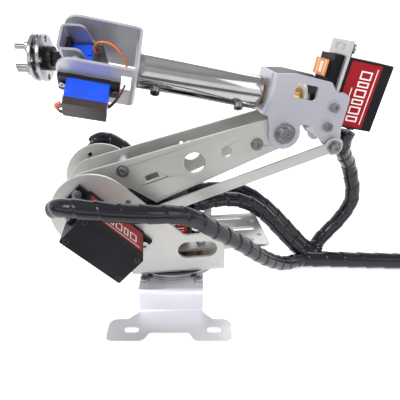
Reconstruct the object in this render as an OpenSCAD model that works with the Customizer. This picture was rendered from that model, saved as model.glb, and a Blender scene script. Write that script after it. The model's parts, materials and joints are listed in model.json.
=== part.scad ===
/* [Base] */
// Width of the base bracket along X
base_w = 40; // [37:1:44]
// Height of the base bracket's top face
base_h = 18; // [17:0.5:18]
// Distance from the centre line to the outside of each base wall
base_wall_y = 41; // [40:0.5:43]
// Distance from the centre line to the outer edge of each foot
foot_y = 67; // [66:1:70]
// Thickness of every bent sheet
sheet = 2; // [1.8:0.1:2]
// Distance between slot centres along X
slot_dx = 49; // [47:1:50]
// Distance between slot centres along Y
slot_dy = 116; // [115:1:118]
// Width of each foot slot
slot_w = 4; // [3.2:0.1:4.4]
// Length of each foot slot from end to end
slot_l = 8.5; // [7:0.5:9]
// Radius of the turntable's two rings
ring_r = 31.5; // [30:0.5:32]

/* [Arm] */
// Height of the shoulder axis above the table
shoulder_z = 67.5; // [67:0.5:70]
// Distance of the shoulder axis behind the turntable axis
shoulder_back = 47.3; // [47:0.1:48]
// Radius of the round ear that holds each shoulder servo
ear_r = 24; // [23:0.5:25]
// Distance between the shoulder axis and the elbow axis
arm_len = 121; // [119:1:123]
// Length of the crank that drives the elbow
crank_len = 32.1; // [31:0.1:33]
// Outer radius of the forearm tube
tube_r = 10; // [9.5:0.1:10]
// Length of the forearm tube
tube_len = 72; // [70:1:76]
// Diameter of the tool flange
flange_d = 25; // [20:1:25]

/* [Rest pose, degrees] */
// Turn of the turntable about the vertical
yaw = 7; // [0:1:15]
// Rise of the upper arm above the horizontal
arm_rise = 19; // [15:1:22]
// Downward slope of the elbow end of the forearm
forearm_drop = 11.3; // [10:0.1:13]
// Turn of the wrist about the forearm tube
wrist_roll = 45; // [0:5:90]
// Bend of the hand at the wrist
hand_pitch = -12; // [-30:1:30]
// Slope of the two shoulder servos
servo_tilt = 45.4; // [44:0.1:46]

/* [Hidden] */
$fn = 48;

axis_x = -2;
bend_in = 1;
bend_out = bend_in + sheet;
play = 0.05;
screw_r = 1.5;
screw_hole = 1.6;
head_r = 2.75;
head_h = 2.8;

// Turntable bracket and tray
web_z = 21.6;
wall_top = 49;
wall_y = 29;
wall_x = [-28, 30.3];
tray_z = 33;
post_spots = [[17, -16], [17, 16], [-16, -16], [-16, 16]];

// Standard servo, measured from its shaft and the shaft side of its mounting tabs
big = [-10, 30, 20, 10, -30, -24, 2.95];
big_tab = [-17.25, 37.25, 18.5, 2.5];
big_tab_holes = [[-14.75, -5], [-14.75, 5], [34.75, -5], [34.75, 5]];
// Micro servo, measured the same way
small = [-6, 16.8, 12.2, 4.2, -18.5, -14.1, 2.3];
small_tab = [-10.85, 21.65, 11.8, 2.5];
small_tab_holes = [[-8.5, 0], [19.3, 0]];

// Distances of the layers from the arm's middle plane
plate_y = 11;
side_y = 13.3;
crank_y = 13.9;
link_y = 16.1;

// Forearm, measured from the elbow axis
tube_z = 18.4;
tube_x = -17.5;
link_end = [32, -2.5];
servo_plate_x = 24.2;
ring_x = -15.9;

// Wrist, measured from the elbow end of the tube
wrist_web = 72;
pitch_axis = 102.5;
ear_out = 14.5;
ear_t = 1.5;
hand_out = 8.5;
hand_web = 8.5;

// Cable routes, measured from the turntable axis in the arm's own direction
near_d = 10.4;
branch_d = 11;
trunk_d = 12;
junction = [94.5, -1.5, 6.5];
near_route = [[-62, -54.5, 84], [-57, -58.7, 86.5], [-50, -61.7, 87], [-40, -62.2, 85.5],
    [-28, -61.2, 83], [-14, -59.2, 80.5], [0, -56, 77.5], [10, -52, 72], [20, -47.5, 63],
    [30, -42, 54], [40, -36.5, 44.5], [49, -31, 35], [58, -25, 26], [67, -18.5, 18],
    [76, -12, 11.5], [85, -6, 8], junction];
trunk_route = [junction, [110, -3.5, 6.5], [125, -6, 6.5], [140, -8.5, 6.5], [155, -11, 6.5],
    [168, -13.5, 6.5], [182, -15, 6.5], [196, -15, 6.5], [208, -14, 6.5]];
far_route = [[-55, 51, 84], [-47, 52, 87.5], [-37, 50.5, 84], [-28, 47, 77], [-20, 43, 68],
    [-12, 40, 59.5], [-4, 38.5, 53], [5, 38, 50.5], [15, 37.6, 50], [26, 36.8, 50],
    [36, 35.5, 50.5], [46, 33, 50.5], [55, 29.5, 49.5], [63, 25.5, 45.5], [71, 21.5, 39.5],
    [79, 18, 32], [87, 14.5, 23.5], [95, 10.5, 15], [102, 6, 9.5], [109, 1.5, 7.5]];
base_route = [[12.6, 0, 55.8], [20, 2, 55.5], [28, 6, 55], [37, 10, 53.5], [46, 13, 51],
    [54, 14.5, 47.5], [62, 14.5, 42.5], [70, 13.5, 35.5], [77, 12, 28], [84, 10, 20.5],
    [91, 6.5, 13.5], [98, 2.5, 9], [104, -1, 7.5]];
elbow_route = [[114.4, 0.2, 101.9], [113.6, 1, 97.5], [114, 3, 92.5], [116, 5.8, 87.5],
    [119.5, 9, 82.5], [123.5, 12, 77.5], [127, 14.5, 72], [129.7, 15.7, 65.2]];
drop_route = [[130.1, 15.9, 64], [132.5, 16, 57.5], [134, 16, 50], [133.8, 16, 42.5],
    [131, 16, 35.5], [127, 16, 28.5], [121.5, 15.5, 22], [115, 14, 16], [108.5, 10.5, 10.5],
    [103, 6, 8], [98, 2, 7]];
plug_size = [14, 7.8, 2.6];

function unit(v) = v / norm(v);
function row(p) = [axis_x + p[0] * cos(yaw) - p[1] * sin(yaw), p[0] * sin(yaw) + p[1] * cos(yaw), p[2]];

// Outline with rounded corners: each corner is [x, y, radius]
function turn(a) = a > 180 ? a - 360 : a < -180 ? a + 360 : a;
function corner(a, b, c) = let (
        p = [b[0], b[1]],
        u = unit([a[0], a[1]] - p),
        v = unit([c[0], c[1]] - p),
        half = acos(max(-1, min(1, u * v))) / 2,
        mid = p + unit(u + v) * b[2] / sin(half),
        from = p + u * b[2] / tan(half) - mid,
        to = p + v * b[2] / tan(half) - mid,
        start = atan2(from[1], from[0]),
        sweep = turn(atan2(to[1], to[0]) - start),
        steps = max(2, ceil(abs(sweep) / 15)))
    [for (i = [0:steps]) mid + b[2] * [cos(start + sweep * i / steps), sin(start + sweep * i / steps)]];
function rounded(c) = let (n = len(c))
    [for (i = [0:n - 1]) each c[i][2] == 0 ? [[c[i][0], c[i][1]]]
        : corner(c[(i + n - 1) % n], c[i], c[(i + 1) % n])];
function mirrored(c) = concat(c, [for (i = [len(c) - 1:-1:0]) [c[i][0], -c[i][1], c[i][2]]]);
function angle_of(v) = atan2(v[1], v[0]);
function polar(r, a) = r * [cos(a), sin(a)];

// Strip that wraps two circles
function arc(c, r, a0, a1) = let (steps = ceil((a1 - a0) / 9))
    [for (i = [0:steps]) c + polar(r, a0 + (a1 - a0) * i / steps)];
module strip(a, ra, b, rb) {
    spread = acos((ra - rb) / norm(b - a));
    along = angle_of(b - a);
    polygon(concat(arc(a, ra, along + spread, along + 360 - spread),
        arc(b, rb, along - spread, along + spread)));
}

module slot2d(length, width) {
    for (s = [-1, 1]) translate([s * (length - width) / 2, 0]) circle(d = width);
    square([length - width, width], center = true);
}

module box(x, y, z) {
    translate([x[0], y[0], z[0]]) cube([x[1] - x[0], y[1] - y[0], z[1] - z[0]]);
}

// Sheet bent through a right angle about the origin, length along Z
module bend(length, inner = bend_in, outer = bend_out) {
    linear_extrude(length) intersection() {
        difference() {
            circle(r = outer);
            circle(r = inner);
        }
        square(outer + 1);
    }
}

// Flat outline drawn in X and Z, thickness from y0 to y1
module upright(y0, y1) {
    translate([0, y1, 0]) rotate([90, 0, 0]) linear_extrude(y1 - y0) children();
}

module cap_screw(length, r = screw_r, hr = head_r, hh = head_h, key = 1.3) {
    translate([0, 0, -length]) cylinder(r = r, h = length + 0.1);
    difference() {
        cylinder(r = hr, h = hh);
        translate([0, 0, hh / 2]) cylinder(r = key, h = hh, $fn = 6);
    }
}

// Frames of the moving parts at rest
module at_turntable() { translate([axis_x, 0, 0]) rotate([0, 0, yaw]) children(); }
module at_shoulder() { at_turntable() translate([-shoulder_back, 0, shoulder_z]) children(); }
module at_arm() { at_shoulder() rotate([0, -arm_rise, 0]) children(); }
module at_forearm() {
    at_arm() translate([arm_len, 0, 0]) rotate([0, arm_rise + forearm_drop, 0]) children();
}
module at_crank() { at_shoulder() rotate([0, crank_slope, 0]) children(); }
module at_tube() { at_forearm() translate([tube_x, 0, tube_z]) children(); }
module at_wrist() { at_tube() rotate([wrist_roll, 0, 0]) children(); }
module at_hand() { at_wrist() translate([-pitch_axis, 0, 0]) rotate([0, hand_pitch, 0]) children(); }
crank_slope = forearm_drop - angle_of(link_end);

// Places of the six servos: shaft along +Z, mounting face at Z 0
module at_base_servo() {
    at_turntable() translate([0, 0, tray_z + sheet]) rotate([180, 0, 180]) children();
}
module at_elbow_servo() {
    at_shoulder() translate([0, -wall_y, 0]) rotate([0, servo_tilt, 0]) rotate([-90, 0, 0]) children();
}
module at_shoulder_servo() {
    at_shoulder() translate([0, wall_y, 0]) rotate([0, servo_tilt, 0]) rotate([90, 0, 0]) children();
}
module at_roll_servo() {
    at_forearm() translate([servo_plate_x + sheet, 0, tube_z]) rotate([0, -90, 0]) children();
}
module at_pitch_servo() {
    at_wrist() translate([-pitch_axis, -ear_out, 0]) rotate([-90, 0, 0]) children();
}
module at_tool_servo() {
    at_hand() translate([ear_t - hand_web, 0, 0]) rotate([0, -90, 0])
        rotate(180) children();
}

// Servo made of a case with tabs, a bottom cover and an output shaft
module servo_outline(s) {
    half = s[2] / 2;
    polygon(rounded([[s[0], -half, 1], [s[1], -half, 1], [s[1], half, 1], [s[0], half, 1]]));
}
module servo_case(s, tab, holes, hole_r, step_x, boss_r, gland) {
    difference() {
        union() {
            translate([0, 0, s[5]]) linear_extrude(s[3] - s[5] - 2.5) servo_outline(s);
            translate([0, 0, s[3] - 2.5]) linear_extrude(2.5) intersection() {
                servo_outline(s);
                translate([s[0], -s[2]]) square([step_x - s[0], 2 * s[2]]);
            }
            box([tab[0], tab[1]], [-tab[2] / 2, tab[2] / 2], [-tab[3], 0]);
            translate([0, 0, s[3] - 0.1]) cylinder(r = boss_r, h = 0.9);
            box([s[0] - gland[0], s[0] + 1], [-gland[1] / 2, gland[1] / 2],
                [s[5] + 0.8, s[5] + 0.8 + gland[2]]);
        }
        translate([0, 0, s[3] - 3.6]) cylinder(r = s[6] + play, h = 10);
        for (p = holes) translate([p[0], p[1], -10]) cylinder(r = hole_r, h = 20);
    }
}
module servo_cover(s) { translate([0, 0, s[4]]) linear_extrude(s[5] - s[4]) servo_outline(s); }
module servo_shaft(s, reach) {
    translate([0, 0, s[3] - 3.4]) cylinder(r = s[6], h = 3.4 + reach);
}
module big_case() { servo_case(big, big_tab, big_tab_holes, 2.15, 14, 5.5, [2, 5, 4]); }
module small_case() { servo_case(small, small_tab, small_tab_holes, 1, 8, 3.4, [0.8, 3.6, 2]); }

// Screws of a standard servo, head on the tab's outer side
module big_servo_screws(length = 4.5) {
    for (p = big_tab_holes)
        translate([p[0], p[1], -big_tab[3]]) rotate([180, 0, 0]) cap_screw(length, hh = 2.2);
}

// Base, fixed to the table
function foot_corners() = [[-20.5, -43, 0], [-26, -48.7, 3], [-37, -48.7, 5], [-36.6, -foot_y, 4],
    [-15, -foot_y, 4], [-11.5, -60.6, 2]];
module foot2d() {
    left = foot_corners();
    all_round = concat(left, [for (i = [len(left) - 1:-1:0]) [-left[i][0], left[i][1], left[i][2]]]);
    difference() {
        polygon(rounded(all_round));
        for (s = [-1, 1]) translate([s * slot_dx / 2 - axis_x, -slot_dy / 2]) slot2d(slot_l, slot_w);
    }
}
module base_half() {
    wall_in = base_wall_y - sheet;
    box([-base_w / 2, base_w / 2], [-base_wall_y, -wall_in], [bend_out, base_h - bend_out]);
    translate([-base_w / 2, -base_wall_y + bend_out, base_h - bend_out])
        rotate([90, 0, 90]) mirror([1, 0, 0]) bend(base_w);
    translate([-base_w / 2, -base_wall_y - bend_in, bend_out])
        rotate([90, 0, 90]) mirror([0, 1, 0]) bend(base_w);
    box([-20.5, 20.5], [-base_wall_y - bend_in - 1.01, -base_wall_y - bend_in], [0, sheet]);
    linear_extrude(sheet) foot2d();
}
module base_bracket() color("#c9c8d8") translate([axis_x, 0, 0]) difference() {
    union() {
        base_half();
        mirror([0, 1, 0]) base_half();
        top_y = base_wall_y - bend_out;
        box([-base_w / 2, base_w / 2], [-top_y, top_y], [base_h - sheet, base_h]);
    }
    translate([0, 0, base_h - 5]) cylinder(r = 3.5, h = 10);
    base_spots() translate([0, 0, -5]) cylinder(r = screw_hole, h = 10);
}
module base_spots() {
    for (sx = [-1, 1], sy = [-1, 1]) translate([sx * 17, sy * 31, base_h]) children();
}
module base_screws() color("#8d8d93") translate([axis_x, 0, 0]) base_spots() {
    cap_screw(5, hh = 2);
    translate([0, 0, -sheet - 2.2]) cylinder(r = 3, h = 2.2, $fn = 6);
}
module bearing_lower() color("#9a9aa2") translate([axis_x, 0, base_h]) difference() {
    union() {
        cylinder(r = ring_r, h = 1.6, $fn = 96);
        cylinder(r = 12, h = 3.2);
    }
    translate([0, 0, -1]) cylinder(r = 9, h = 6);
}
module base_horn() color("#d8d8d8") translate([axis_x, 0, base_h]) difference() {
    cylinder(r = 9, h = 3);
    translate([0, 0, 1]) cylinder(r = big[6], h = 4);
}
module base_servo_shaft() color("#b9a25a") at_base_servo() servo_shaft(big, 6);

// Turntable
module bearing_upper() color("#a9a9b0") translate([axis_x, 0, base_h + 1.9]) difference() {
    cylinder(r = ring_r, h = web_z - base_h - 1.9, $fn = 96);
    translate([0, 0, -1]) cylinder(r = 12 + play, h = 6);
}
module servo_window(s) {
    box([s[0] - 0.2, s[1] + 0.2], [-s[2] / 2 - 0.2, s[2] / 2 + 0.2], [-6, 6]);
}
module tab_holes(spots, r = screw_hole) {
    for (p = spots) translate([p[0], p[1], -6]) cylinder(r = r, h = 12);
}
module wall2d() {
    centre = [-shoulder_back, shoulder_z];
    foot = [wall_x[0], web_z + bend_out];
    lean = angle_of(foot - centre) - acos(ear_r / norm(foot - centre));
    upper = centre + polar(ear_r, 45);
    lower = centre + polar(ear_r, lean);
    difference() {
        union() {
            translate(centre) circle(r = ear_r, $fn = 96);
            polygon(rounded([[upper[0], upper[1], 0], [upper[0] + upper[1] - wall_top, wall_top, 4],
                [wall_x[1], wall_top, 2], [wall_x[1], foot[1], 0], [foot[0], foot[1], 0],
                [lower[0], lower[1], 0], [centre[0], centre[1], 0]]));
        }
        translate([13.2, 38.4]) slot2d(24.5, 11.4);
        for (p = [[-27, 73.4], [-53.8, 84.4]]) translate(p) circle(r = screw_hole);
    }
}
module turntable_wall() {
    upright(-wall_y, -wall_y + sheet) wall2d();
    translate([wall_x[0], -wall_y + bend_out, web_z + bend_out])
        rotate([90, 0, 90]) mirror([1, 0, 0]) mirror([0, 1, 0]) bend(wall_x[1] - wall_x[0]);
}
module turntable_bracket() color("#d9d8d6") difference() {
    at_turntable() difference() {
        flat_y = wall_y - bend_out;
        union() {
            turntable_wall();
            mirror([0, 1, 0]) turntable_wall();
            box(wall_x, [-flat_y, flat_y], [web_z, web_z + sheet]);
        }
        translate([0, 0, web_z - 1]) cylinder(r = 5.2, h = 5);
    }
    at_elbow_servo() servo_window(big);
    at_elbow_servo() tab_holes(big_tab_holes);
    at_shoulder_servo() servo_window(big);
    at_shoulder_servo() tab_holes(big_tab_holes);
}
module servo_tray() color("#e2e2e2") difference() {
    at_turntable() translate([0, 0, tray_z]) linear_extrude(sheet) difference() {
        polygon(rounded(mirrored([[-38.5, 13.5, 2], [-20, 13.5, 1], [-20, 22, 2], [62, 22, 3]])));
        translate([46.5, 0]) slot2d(21, 5);
        for (s = [-1, 1]) {
            translate([38, s * 16]) slot2d(28, 4.2);
            translate([57.5, s * 10]) circle(r = screw_hole);
            translate([26, s * 8]) circle(r = screw_hole);
        }
        for (p = post_spots) translate(p) circle(r = screw_hole);
    }
    at_base_servo() servo_window(big);
    at_base_servo() tab_holes(big_tab_holes);
}
module tray_posts() color("#c8a24a") at_turntable() for (p = post_spots)
    translate([p[0], p[1], web_z + sheet]) cylinder(r = 2.75, h = tray_z - web_z - sheet, $fn = 6);
module base_servo_case() color("#1c1c1e") at_base_servo() big_case();
module base_servo_cover() color("#26262a") at_base_servo() servo_cover(big);
module elbow_servo_case() color("#1c1c1e") at_elbow_servo() big_case();
module elbow_servo_cover() color("#26262a") at_elbow_servo() servo_cover(big);
module shoulder_servo_case() color("#1c1c1e") at_shoulder_servo() big_case();
module shoulder_servo_cover() color("#26262a") at_shoulder_servo() servo_cover(big);
module turntable_screws() color("#9b9ba0") {
    at_base_servo() big_servo_screws();
    at_elbow_servo() big_servo_screws();
    at_shoulder_servo() big_servo_screws();
    at_turntable() for (p = post_spots)
        translate([p[0], p[1], tray_z + sheet]) cap_screw(sheet, hh = 2.2);
}

// Upper arm, X along the arm from shoulder to elbow
arm_screw_spots = [[22.8, 12.5], [103.9, -1.2]];
module arm_plate2d(bore) {
    difference() {
        strip([0, 1.5], 18.5, [arm_len, 1], 9.7);
        circle(r = bore);
        translate([arm_len, 0]) circle(r = 2.5 + play);
        translate([64.6, 1.3]) circle(r = 6.6);
        translate([85, 0.9]) circle(r = 3.5);
        for (p = arm_screw_spots) translate(p) circle(r = screw_hole);
    }
}
module arm_plate_near() color("#dcdad4") at_arm() upright(-plate_y - sheet, -plate_y) difference() {
    arm_plate2d(4 + play);
    polygon(rounded([[33.4, 0.6, 0.8], [41.6, 0.6, 0.8], [41.6, 4.4, 0.8], [33.4, 4.4, 0.8]]));
    translate([38, -0.9]) slot2d(17, 0.7);
    polygon([[20.4, 3], [34, -15], [34, -25], [6, -25], [6, -15], [11.5, -8]]);
}
module arm_plate_far() color("#dcdad4") at_arm() upright(plate_y, plate_y + sheet) difference() {
    arm_plate2d(2);
    translate([60.7, 8.3]) circle(r = 1.2);
    for (a = [0:90:270]) translate(polar(7.2, a + 45)) circle(r = 1);
}
module arm_standoffs() color("#e4e1d8") at_arm() for (p = arm_screw_spots)
    translate([p[0], plate_y, p[1]]) rotate([90, 0, 0]) cylinder(r = 3, h = 2 * plate_y);
module arm_screws() color("#8d8d93") at_arm() for (p = arm_screw_spots, s = [0, 180])
    translate([p[0], 0, p[1]]) rotate([90 + s, 0, 0]) translate([0, 0, plate_y + sheet]) {
        cylinder(r = 3.8, h = 0.5);
        translate([0, 0, 0.5]) cap_screw(sheet + 0.5, hh = 2.3);
    }
module shoulder_horn() color("#1b1b1d") at_shoulder_servo() difference() {
    union() {
        translate([0, 0, 11]) cylinder(r = 10, h = 2.1);
        translate([0, 0, 13.1]) cylinder(r = 7, h = 2.9);
    }
    translate([0, 0, 5]) cylinder(r = big[6], h = 9.5);
}
module shoulder_servo_shaft() color("#b9a25a") at_shoulder_servo() servo_shaft(big, 4.5);

// Crank on the near side, driven by the elbow servo
module crank_horn() color("#1b1b1d") at_elbow_servo() difference() {
    translate([0, 0, 11]) cylinder(r = 10, h = 2.1);
    translate([0, 0, 5]) cylinder(r = big[6], h = 9.5);
}
module elbow_servo_shaft() color("#b9a25a") at_elbow_servo() servo_shaft(big, 3.1);
module crank_arm() color("#d4d2cc") at_crank() {
    upright(-crank_y - sheet, -crank_y) difference() {
        strip([0, 0], 11, [crank_len, 0], 4.8);
        translate([crank_len, 0]) circle(r = screw_r);
        translate([20, 0]) circle(r = 2);
    }
    upright(-crank_y, -plate_y + 1.5) circle(r = 4);
}
module pivot_screw(inside, head) {
    translate([0, -link_y - sheet - 0.8, 0]) rotate([90, 0, 0]) cap_screw(inside, hh = head);
}
module crank_pin() color("#8d8d93") at_crank() translate([crank_len, 0, 0]) pivot_screw(5, 2.3);

// Link from the crank to the elbow bracket
module at_link() { at_crank() translate([crank_len, 0, 0]) rotate([0, -crank_slope - arm_rise, 0]) children(); }
module link_bar() color("#d9d7d0") at_link() upright(-link_y - sheet, -link_y) difference() {
    union() {
        for (x = [0, arm_len]) translate([x, 0]) circle(r = 5.4);
        translate([arm_len / 2, 0]) square([arm_len, 6.8], center = true);
    }
    for (x = [0, arm_len]) translate([x, 0]) circle(r = 3);
}
module link_bearings() color("#b7b7bd") at_link() for (x = [0, arm_len]) difference() {
    union() {
        upright(-link_y - sheet - 0.6, -link_y - sheet) translate([x, 0]) circle(r = 4.3);
        upright(-link_y - sheet, -link_y) translate([x, 0]) circle(r = 3);
    }
    upright(-link_y - 5, -link_y + 1) translate([x, 0]) circle(r = screw_r + 0.08);
}

// Forearm, X from the tube towards the roll servo
side_screw_spots = [[25.3, 20], [24.9, 8.4]];
module bracket_side2d() {
    difference() {
        union() {
            polygon(rounded([[ring_x + bend_out, 8.6, 0], [ring_x + bend_out, 32.6, 0], [-3, 34.4, 3],
                [19.3, 33.6, 2], [24.1, 28.6, 2], [28.4, 29.3, 1], [33.2, 27.5, 3], [34, 7, 2],
                [30, -3, 0], [25.3, -2.6, 0], [14.8, 7.3, 3]]));
            strip([31, 8], 3, link_end, 4.8);
            polygon([[ring_x + bend_out, 8.7], [-9.5, 0], [8.9, 0], [7.8, 3.6], [8.8, 6.8], [14.8, 7.4],
                [0, 14]]);
            circle(r = 9.6);
        }
        circle(r = 2.5);
        translate(link_end) circle(r = screw_r);
        polygon(rounded([[-1, 21.4, 1.5], [12.5, 21.4, 1.5], [12.5, 29.7, 1.5], [-1, 29.7, 1.5]]));
        for (p = side_screw_spots) translate(p) circle(r = screw_hole);
    }
}
module bracket_side() {
    upright(-side_y - sheet, -side_y) bracket_side2d();
    translate([ring_x + bend_out, -side_y - sheet + bend_out, 8.6])
        rotate([0, 0, 180]) bend(24);
}
module elbow_bracket() color("#cfcdda") at_forearm() {
    bracket_side();
    mirror([0, 1, 0]) bracket_side();
    difference() {
        flat_y = side_y + sheet - bend_out;
        box([ring_x, ring_x + sheet], [-flat_y, flat_y], [8.6, 32.6]);
        translate([ring_x - 1, 0, tube_z]) rotate([0, 90, 0]) cylinder(r = 8, h = 5);
    }
}
module roll_servo_plate() color("#cdd0d4") difference() {
    at_forearm() box([servo_plate_x, servo_plate_x + sheet], [-side_y + 0.05, side_y - 0.05], [-0.6, 57]);
    at_roll_servo() servo_window(big);
    at_roll_servo() tab_holes(big_tab_holes);
}
module roll_servo_case() color("#1c1c1e") at_roll_servo() big_case();
module roll_servo_cover() color("#26262a") at_roll_servo() servo_cover(big);
module forearm_screws() color("#9b9ba0") {
    at_roll_servo() big_servo_screws();
    at_forearm() for (p = side_screw_spots, s = [0, 180])
        translate([p[0], 0, p[1]]) rotate([90 + s, 0, 0]) translate([0, 0, side_y + sheet])
            cap_screw(sheet, hh = 2.2);
}
module elbow_bolts() color("#8d8d93") at_forearm() for (s = [0, 180])
    rotate([90 + s, 0, 0]) translate([0, 0, side_y + sheet]) {
        cylinder(r = 6.5, h = 1);
        translate([0, 0, 1]) cap_screw(7.6, 2.5, 4.2, 4.6, 2);
        translate([0, 0, -7.4]) cylinder(r = 4.4, h = 2.8, $fn = 6);
    }
module link_pin() color("#8d8d93") at_forearm() translate([link_end[0], 0, link_end[1]]) {
    pivot_screw(7.4, 3);
    upright(-side_y, -side_y + 2.2) circle(r = 2.9, $fn = 6);
}
module forearm_bearing() color("#c8a24a") at_forearm() translate([0, 0, tube_z]) rotate([0, 90, 0])
    difference() {
        union() {
            translate([0, 0, ring_x]) cylinder(r = 8, h = sheet);
            translate([0, 0, ring_x + sheet]) cylinder(r = 9.6, h = 1.4);
        }
        translate([0, 0, ring_x - 1]) cylinder(r = 6 + play, h = 6);
    }

// Wrist, turned by the roll servo through the forearm tube
module roll_servo_shaft() color("#b9a25a") at_roll_servo() servo_shaft(big, 6.5);
module roll_horn() color("#e6e6e6") at_roll_servo() difference() {
    union() {
        translate([0, 0, 12.5]) cylinder(r = 5, h = 4);
        translate([0, 0, 16.5]) cylinder(r = 10.5, h = 2.2);
    }
    translate([0, 0, 5]) cylinder(r = big[6], h = 11.5);
}
module drive_coupling() color("#c8a24a") at_tube() rotate([0, 90, 0]) {
    coupling_end = -tube_x + servo_plate_x + sheet - 18.7;
    translate([0, 0, -16]) cylinder(r = tube_r - 1.5, h = 16);
    cylinder(r = 6, h = 12);
    translate([0, 0, 12]) cylinder(r = 8, h = coupling_end - 12);
}
tube_screw_spots = [12.4, 61.5];
module tube_screw_place() {
    for (s = tube_screw_spots) at_wrist() translate([-s, -tube_r, 0]) rotate([90, 0, 0]) children();
}
module forearm_tube() color("#d8dade") difference() {
    at_tube() translate([-tube_len, 0, 0]) rotate([0, 90, 0]) difference() {
        cylinder(r = tube_r, h = tube_len);
        translate([0, 0, -1]) cylinder(r = tube_r - 1.5, h = tube_len + 2);
    }
    tube_screw_place() translate([0, 0, -4]) cylinder(r = screw_hole, h = 8);
}
module wrist_ear2d() {
    polygon(rounded([[-wrist_web - 3, -15, 0], [-114, -15, 9], [-114, 18, 9], [-wrist_web - 3, 18, 0]]));
}
module wrist_ear() {
    upright(-ear_out, -ear_out + ear_t) wrist_ear2d();
    translate([-wrist_web - 3, -ear_out + 3, -15]) rotate([0, 0, -90]) bend(33, 1.5, 3);
}
module wrist_bracket() color("#b9bac2") difference() {
    at_wrist() difference() {
        union() {
            wrist_ear();
            mirror([0, 1, 0]) wrist_ear();
            box([-wrist_web - ear_t, -wrist_web], [3 - ear_out, ear_out - 3], [-15, 18]);
            translate([-wrist_web - ear_t, 0, 0]) rotate([0, 90, 0]) cylinder(r = tube_r - 1.5, h = 14);
        }
        box([-80.5, -75.2], [-20, 0], [-2, 12]);
        translate([-pitch_axis, 0, 0]) rotate([-90, 0, 0]) cylinder(r = screw_r, h = 20);
    }
    at_pitch_servo() servo_window(small);
    at_pitch_servo() tab_holes(small_tab_holes, 0.9);
}
module pitch_servo_case() color("#2a63c8") at_pitch_servo() small_case();
module pitch_servo_cover() color("#2b2523") at_pitch_servo() servo_cover(small);
module wrist_screws() color("#8d8d93") {
    tube_screw_place() cap_screw(1.5, hh = 3.4);
    at_pitch_servo() for (p = small_tab_holes) translate([p[0], p[1], -small_tab[3]])
        rotate([180, 0, 0]) cap_screw(3, 0.9, 1.8, 1.4, 0.7);
    at_wrist() translate([-pitch_axis, ear_out, 0]) rotate([-90, 0, 0]) cap_screw(8, hh = 2.4);
    at_wrist() translate([-pitch_axis, hand_out + 0.3, 0]) rotate([-90, 0, 0])
        cylinder(r = 3.4, h = ear_out - ear_t - hand_out - 0.3);
}
lead_route = [[-109.5, -30, 0], [-112, -30.3, -2.5], [-111.6, -30, -6.5], [-108.5, -29.2, -9],
    [-103, -28.3, -9.6], [-96, -26.5, -9.6], [-89.5, -24, -9], [-85, -22.2, -6.6],
    [-82, -20.6, -2.4], [-79.7, -18.7, 2.5], [-78.2, -15, 5]];
module pitch_servo_lead() color("#b5552a") at_wrist() sweep(smooth(lead_route, 3), 2.6, 8);

// Hand, bent by the pitch servo
module pitch_servo_shaft() color("#e6e6e6") at_pitch_servo() servo_shaft(small, 3.3);
module pitch_horn() color("#f0f0f0") at_hand() upright(-9.4, -hand_out) difference() {
    strip([0, 0], 3.6, [0, 11], 2.2);
    circle(r = small[6]);
}
module hand_arm() {
    upright(-hand_out, -hand_out + ear_t) difference() {
        union() {
            polygon(rounded([[-hand_web + 3, -8, 0], [-hand_web + 3, 18, 0], [4, 18, 4], [6, 4, 3],
                [0, -8.9, 0]]));
            circle(r = 8.9);
        }
        circle(r = 1.55);
    }
    translate([-hand_web + 3, -hand_out + 3, -8]) rotate([0, 0, 180]) bend(26, 1.5, 3);
}
module hand_bracket() color("#cfd0dc") difference() {
    at_hand() union() {
        difference() {
            hand_arm();
            upright(-20, 0) circle(r = small[6]);
        }
        mirror([0, 1, 0]) hand_arm();
        box([-hand_web, ear_t - hand_web], [3 - hand_out, hand_out - 3], [-8, 18]);
        box([-hand_web, ear_t - hand_web], [-5.5, 5.5], [-22.5, -8]);
    }
    at_tool_servo() box([small[0] - 0.2, small[1] + 0.2], [-5, 5], [-1, 6]);
    at_tool_servo() tab_holes(small_tab_holes, 0.9);
}
module tool_servo_case() color("#2a63c8") at_tool_servo() intersection() {
    small_case();
    union() {
        box([-20, 30], [-6.1, 6.1], [-30, -0.001]);
        box([small[0], small[1]], [-4.9, 4.9], [-1, 10]);
    }
}
module tool_servo_cover() color("#2b2523") at_tool_servo() servo_cover(small);
hand_lead_route = [[9.2, 0, 7.6], [9.8, 0, 12], [12.8, 0, 15.2], [17.8, -0.5, 15], [22, -2, 11.5],
    [24.8, -4.5, 6.5], [25.8, -8.5, 2]];
module tool_servo_lead() color("#b5552a") at_hand() sweep(smooth(hand_lead_route, 3), 2.6, 8);

// Tool side, turned by the tool servo
module tool_servo_shaft() color("#e6e6e6") at_tool_servo() servo_shaft(small, 6);
module tool_horn() color("#18181a") at_tool_servo() difference() {
    union() {
        translate([0, 0, small[3] + 1.4]) cylinder(r = 4, h = 3.4);
        translate([0, 0, small[3] + 4.8]) cylinder(r = 6.5, h = 4);
    }
    translate([0, 0, 1]) cylinder(r = small[6], h = small[3] + 5);
}
flange_z = small[3] + 8.8;
pin_count = 4;
pin_ring = 8.4;
bolt_ring = 10;
module tool_flange() color("#c9ccd6") at_tool_servo() difference() {
    union() {
        translate([0, 0, flange_z]) cylinder(d = flange_d, h = 2);
        translate([0, 0, flange_z + 2]) cylinder(r = 5, h = 2.4);
        translate([0, 0, flange_z + 4.4]) cylinder(d = flange_d, h = 2);
    }
    for (i = [0:pin_count - 1]) translate([polar(pin_ring, 90 * i)[0], polar(pin_ring, 90 * i)[1],
        flange_z - 1])
        cylinder(r = screw_r, h = 10);
    for (i = [0:pin_count - 1]) translate([polar(bolt_ring, 90 * i + 45)[0], polar(bolt_ring, 90 * i + 45)[1],
        flange_z - 1])
        cylinder(r = screw_hole, h = 10);
}
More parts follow.
